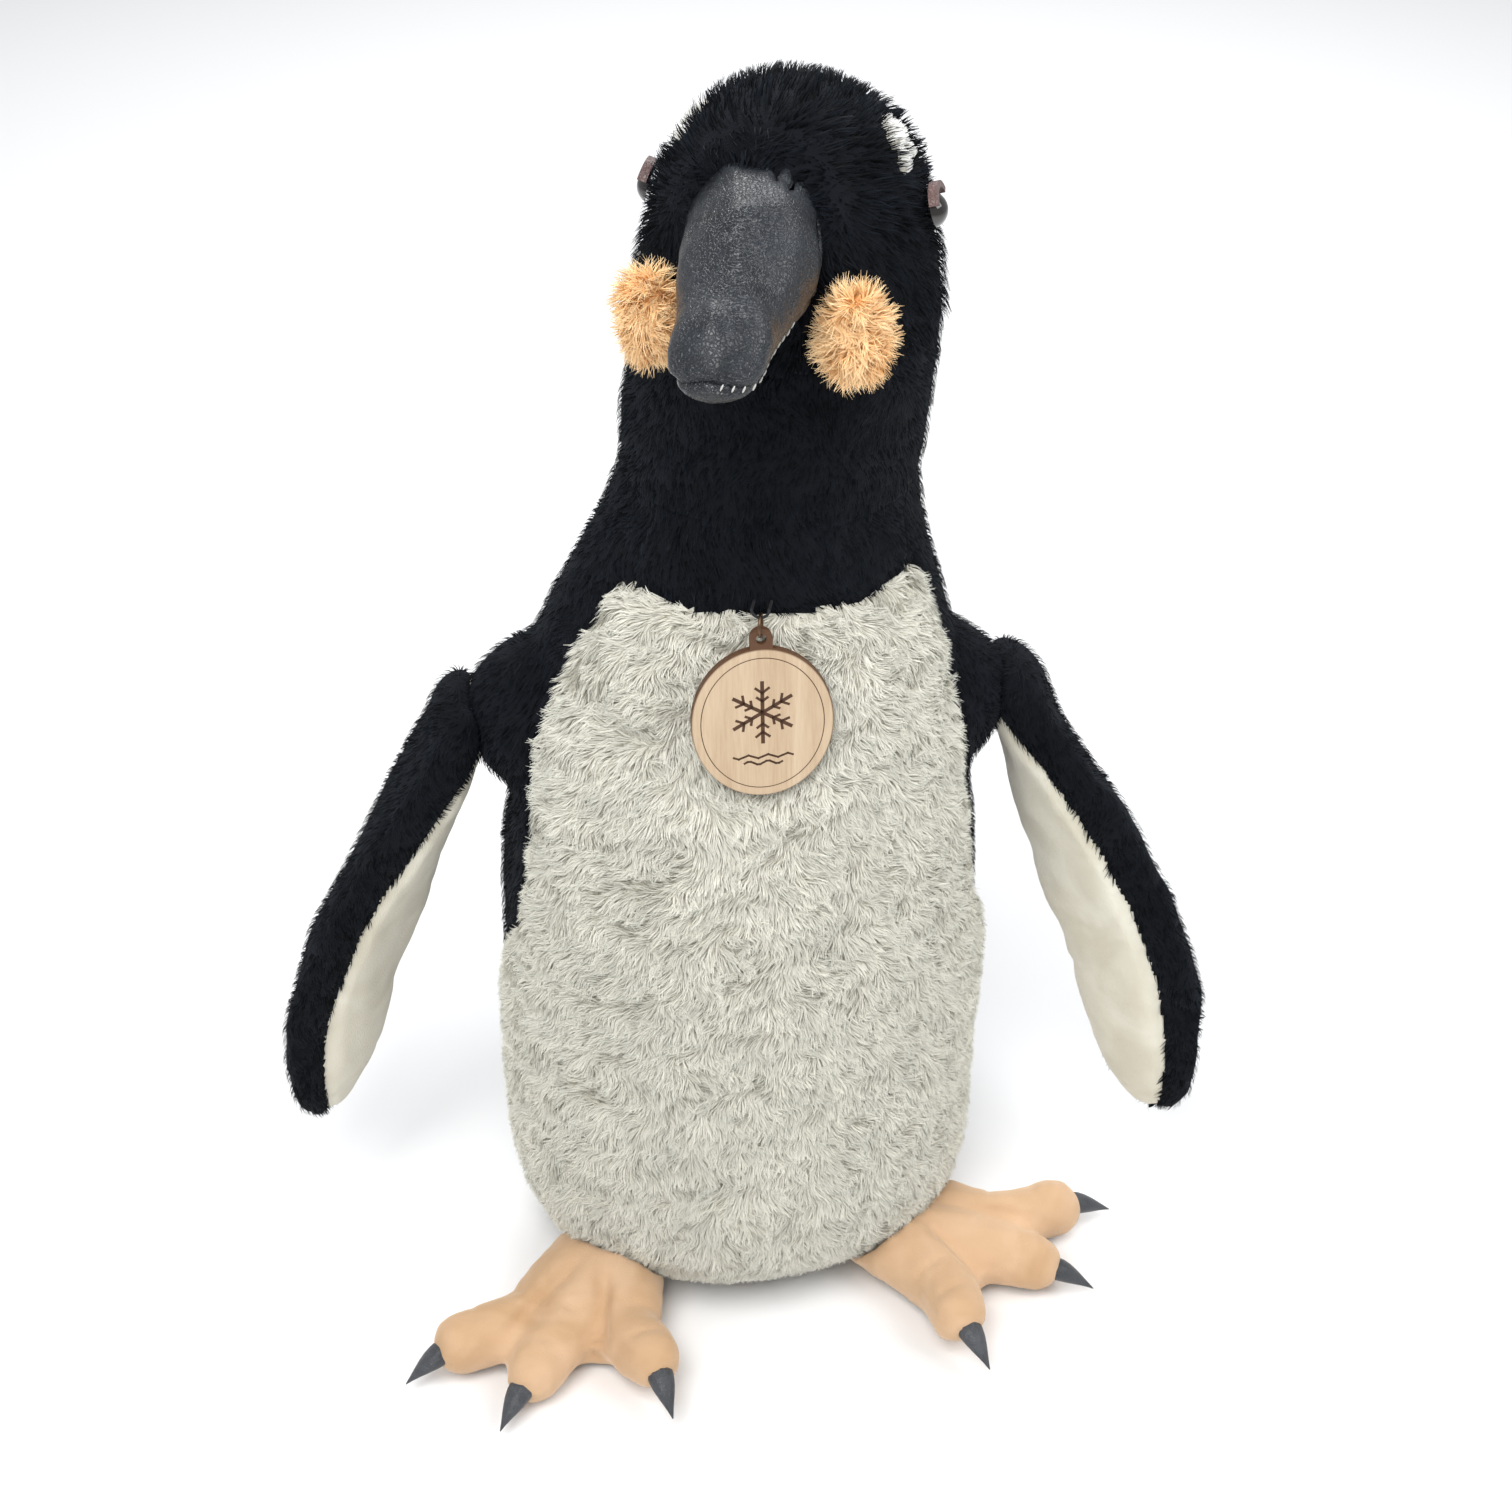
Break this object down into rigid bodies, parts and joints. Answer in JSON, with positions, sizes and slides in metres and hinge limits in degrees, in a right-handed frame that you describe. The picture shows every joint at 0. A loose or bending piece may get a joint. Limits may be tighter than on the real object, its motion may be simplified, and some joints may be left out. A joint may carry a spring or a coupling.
{
  "type": "plush penguin",
  "caption": "Standing stuffed penguin with a long-pile front, turned head, leather beak, hanging flippers, clawed velour feet and a wooden medallion on a ring.",
  "frame": {"origin": "on the floor, at the middle of the flat base panel's width, in line with the neck seam", "axes": "-Z down through the base, -Y the way the body faces, +X towards the penguin's own left"},
  "size_m": [0.4064, 0.2918, 0.543],
  "materials": {
    "black_plush": "short brushed pile",
    "cream_pile": "long wavy pile",
    "white_pile": "short pile",
    "cream_velour": "velour",
    "peach_velour": "velour",
    "grey_velour": "velour",
    "peach_fur": "long brushed fur",
    "fibre_filling": "loose polyester fibre",
    "pellets": "plastic pellets in a bag",
    "black_leather": "pebbled, semi-gloss",
    "slate_leather": "matte",
    "brown_leather": "matte",
    "eye_gloss": "polished",
    "washer_plastic": "moulded",
    "bronze_wire": "darkened",
    "plywood": "sanded, laser cut",
    "black_thread": "twisted"
  },
  "bodies": {
    "torso": {"torso_stuffing": "fibre_filling", "pellet_bag": "pellets", "belly_panel": "cream_pile", "back_panel_left": "black_plush", "back_panel_right": "black_plush", "throat_yoke": "black_plush", "base_panel": "black_plush", "tail_cover": "black_plush", "tail_stuffing": "fibre_filling", "foot_upper_left": "peach_velour", "foot_upper_right": "peach_velour", "foot_sole_left": "grey_velour", "foot_sole_right": "grey_velour", "foot_stuffing_left": "fibre_filling", "foot_stuffing_right": "fibre_filling", "claws_left": "slate_leather", "claws_right": "slate_leather", "thread_loop": "black_thread"},
    "head": {"neck_stuffing": "fibre_filling", "throat_panel": "black_plush", "nape_panel": "black_plush", "head_stuffing": "fibre_filling", "crown_left": "black_plush", "crown_right": "black_plush", "white_patch_left": "white_pile", "white_patch_right": "white_pile", "beak_upper": "black_leather", "beak_lower": "black_leather", "beak_stuffing": "fibre_filling", "eye_left": "eye_gloss", "eye_right": "eye_gloss", "eyelid_left": "brown_leather", "eyelid_right": "brown_leather", "eye_washer_left": "washer_plastic", "eye_washer_right": "washer_plastic", "cheek_tuft_left": "peach_fur", "cheek_tuft_right": "peach_fur"},
    "flipper_left": {"flipper_cover_left": "black_plush", "flipper_lining_left": "cream_velour", "flipper_stuffing_left": "fibre_filling"},
    "flipper_right": {"flipper_cover_right": "black_plush", "flipper_lining_right": "cream_velour", "flipper_stuffing_right": "fibre_filling"},
    "jump_ring": {"jump_ring": "bronze_wire"},
    "medallion": {"medallion": "plywood"}
  },
  "joints": [
    {"name": "neck_turn", "type": "hinge", "parent": "torso", "child": "head", "pos_m": [0.01166, 0, 0.392], "axis": [0, 0, 1], "range_deg": [-20, 45]},
    {"name": "flipper_left_raise", "type": "hinge", "parent": "torso", "child": "flipper_left", "pos_m": [0.11148, 0, 0.28381], "axis": [0, -1, 0], "range_deg": [-4, 60]},
    {"name": "flipper_right_raise", "type": "hinge", "parent": "torso", "child": "flipper_right", "pos_m": [-0.11148, 0, 0.28381], "axis": [0, 1, 0], "range_deg": [-4, 60]},
    {"name": "ring_swing", "type": "hinge", "parent": "torso", "child": "jump_ring", "pos_m": [0, -0.07059, 0.36487], "axis": [-1, 0, 0], "range_deg": [0, 45]},
    {"name": "medallion_swing", "type": "hinge", "parent": "jump_ring", "child": "medallion", "pos_m": [0, -0.07099, 0.362], "axis": [-0.9703, 0.2396, -0.0337], "range_deg": [0, 45]}
  ]
}
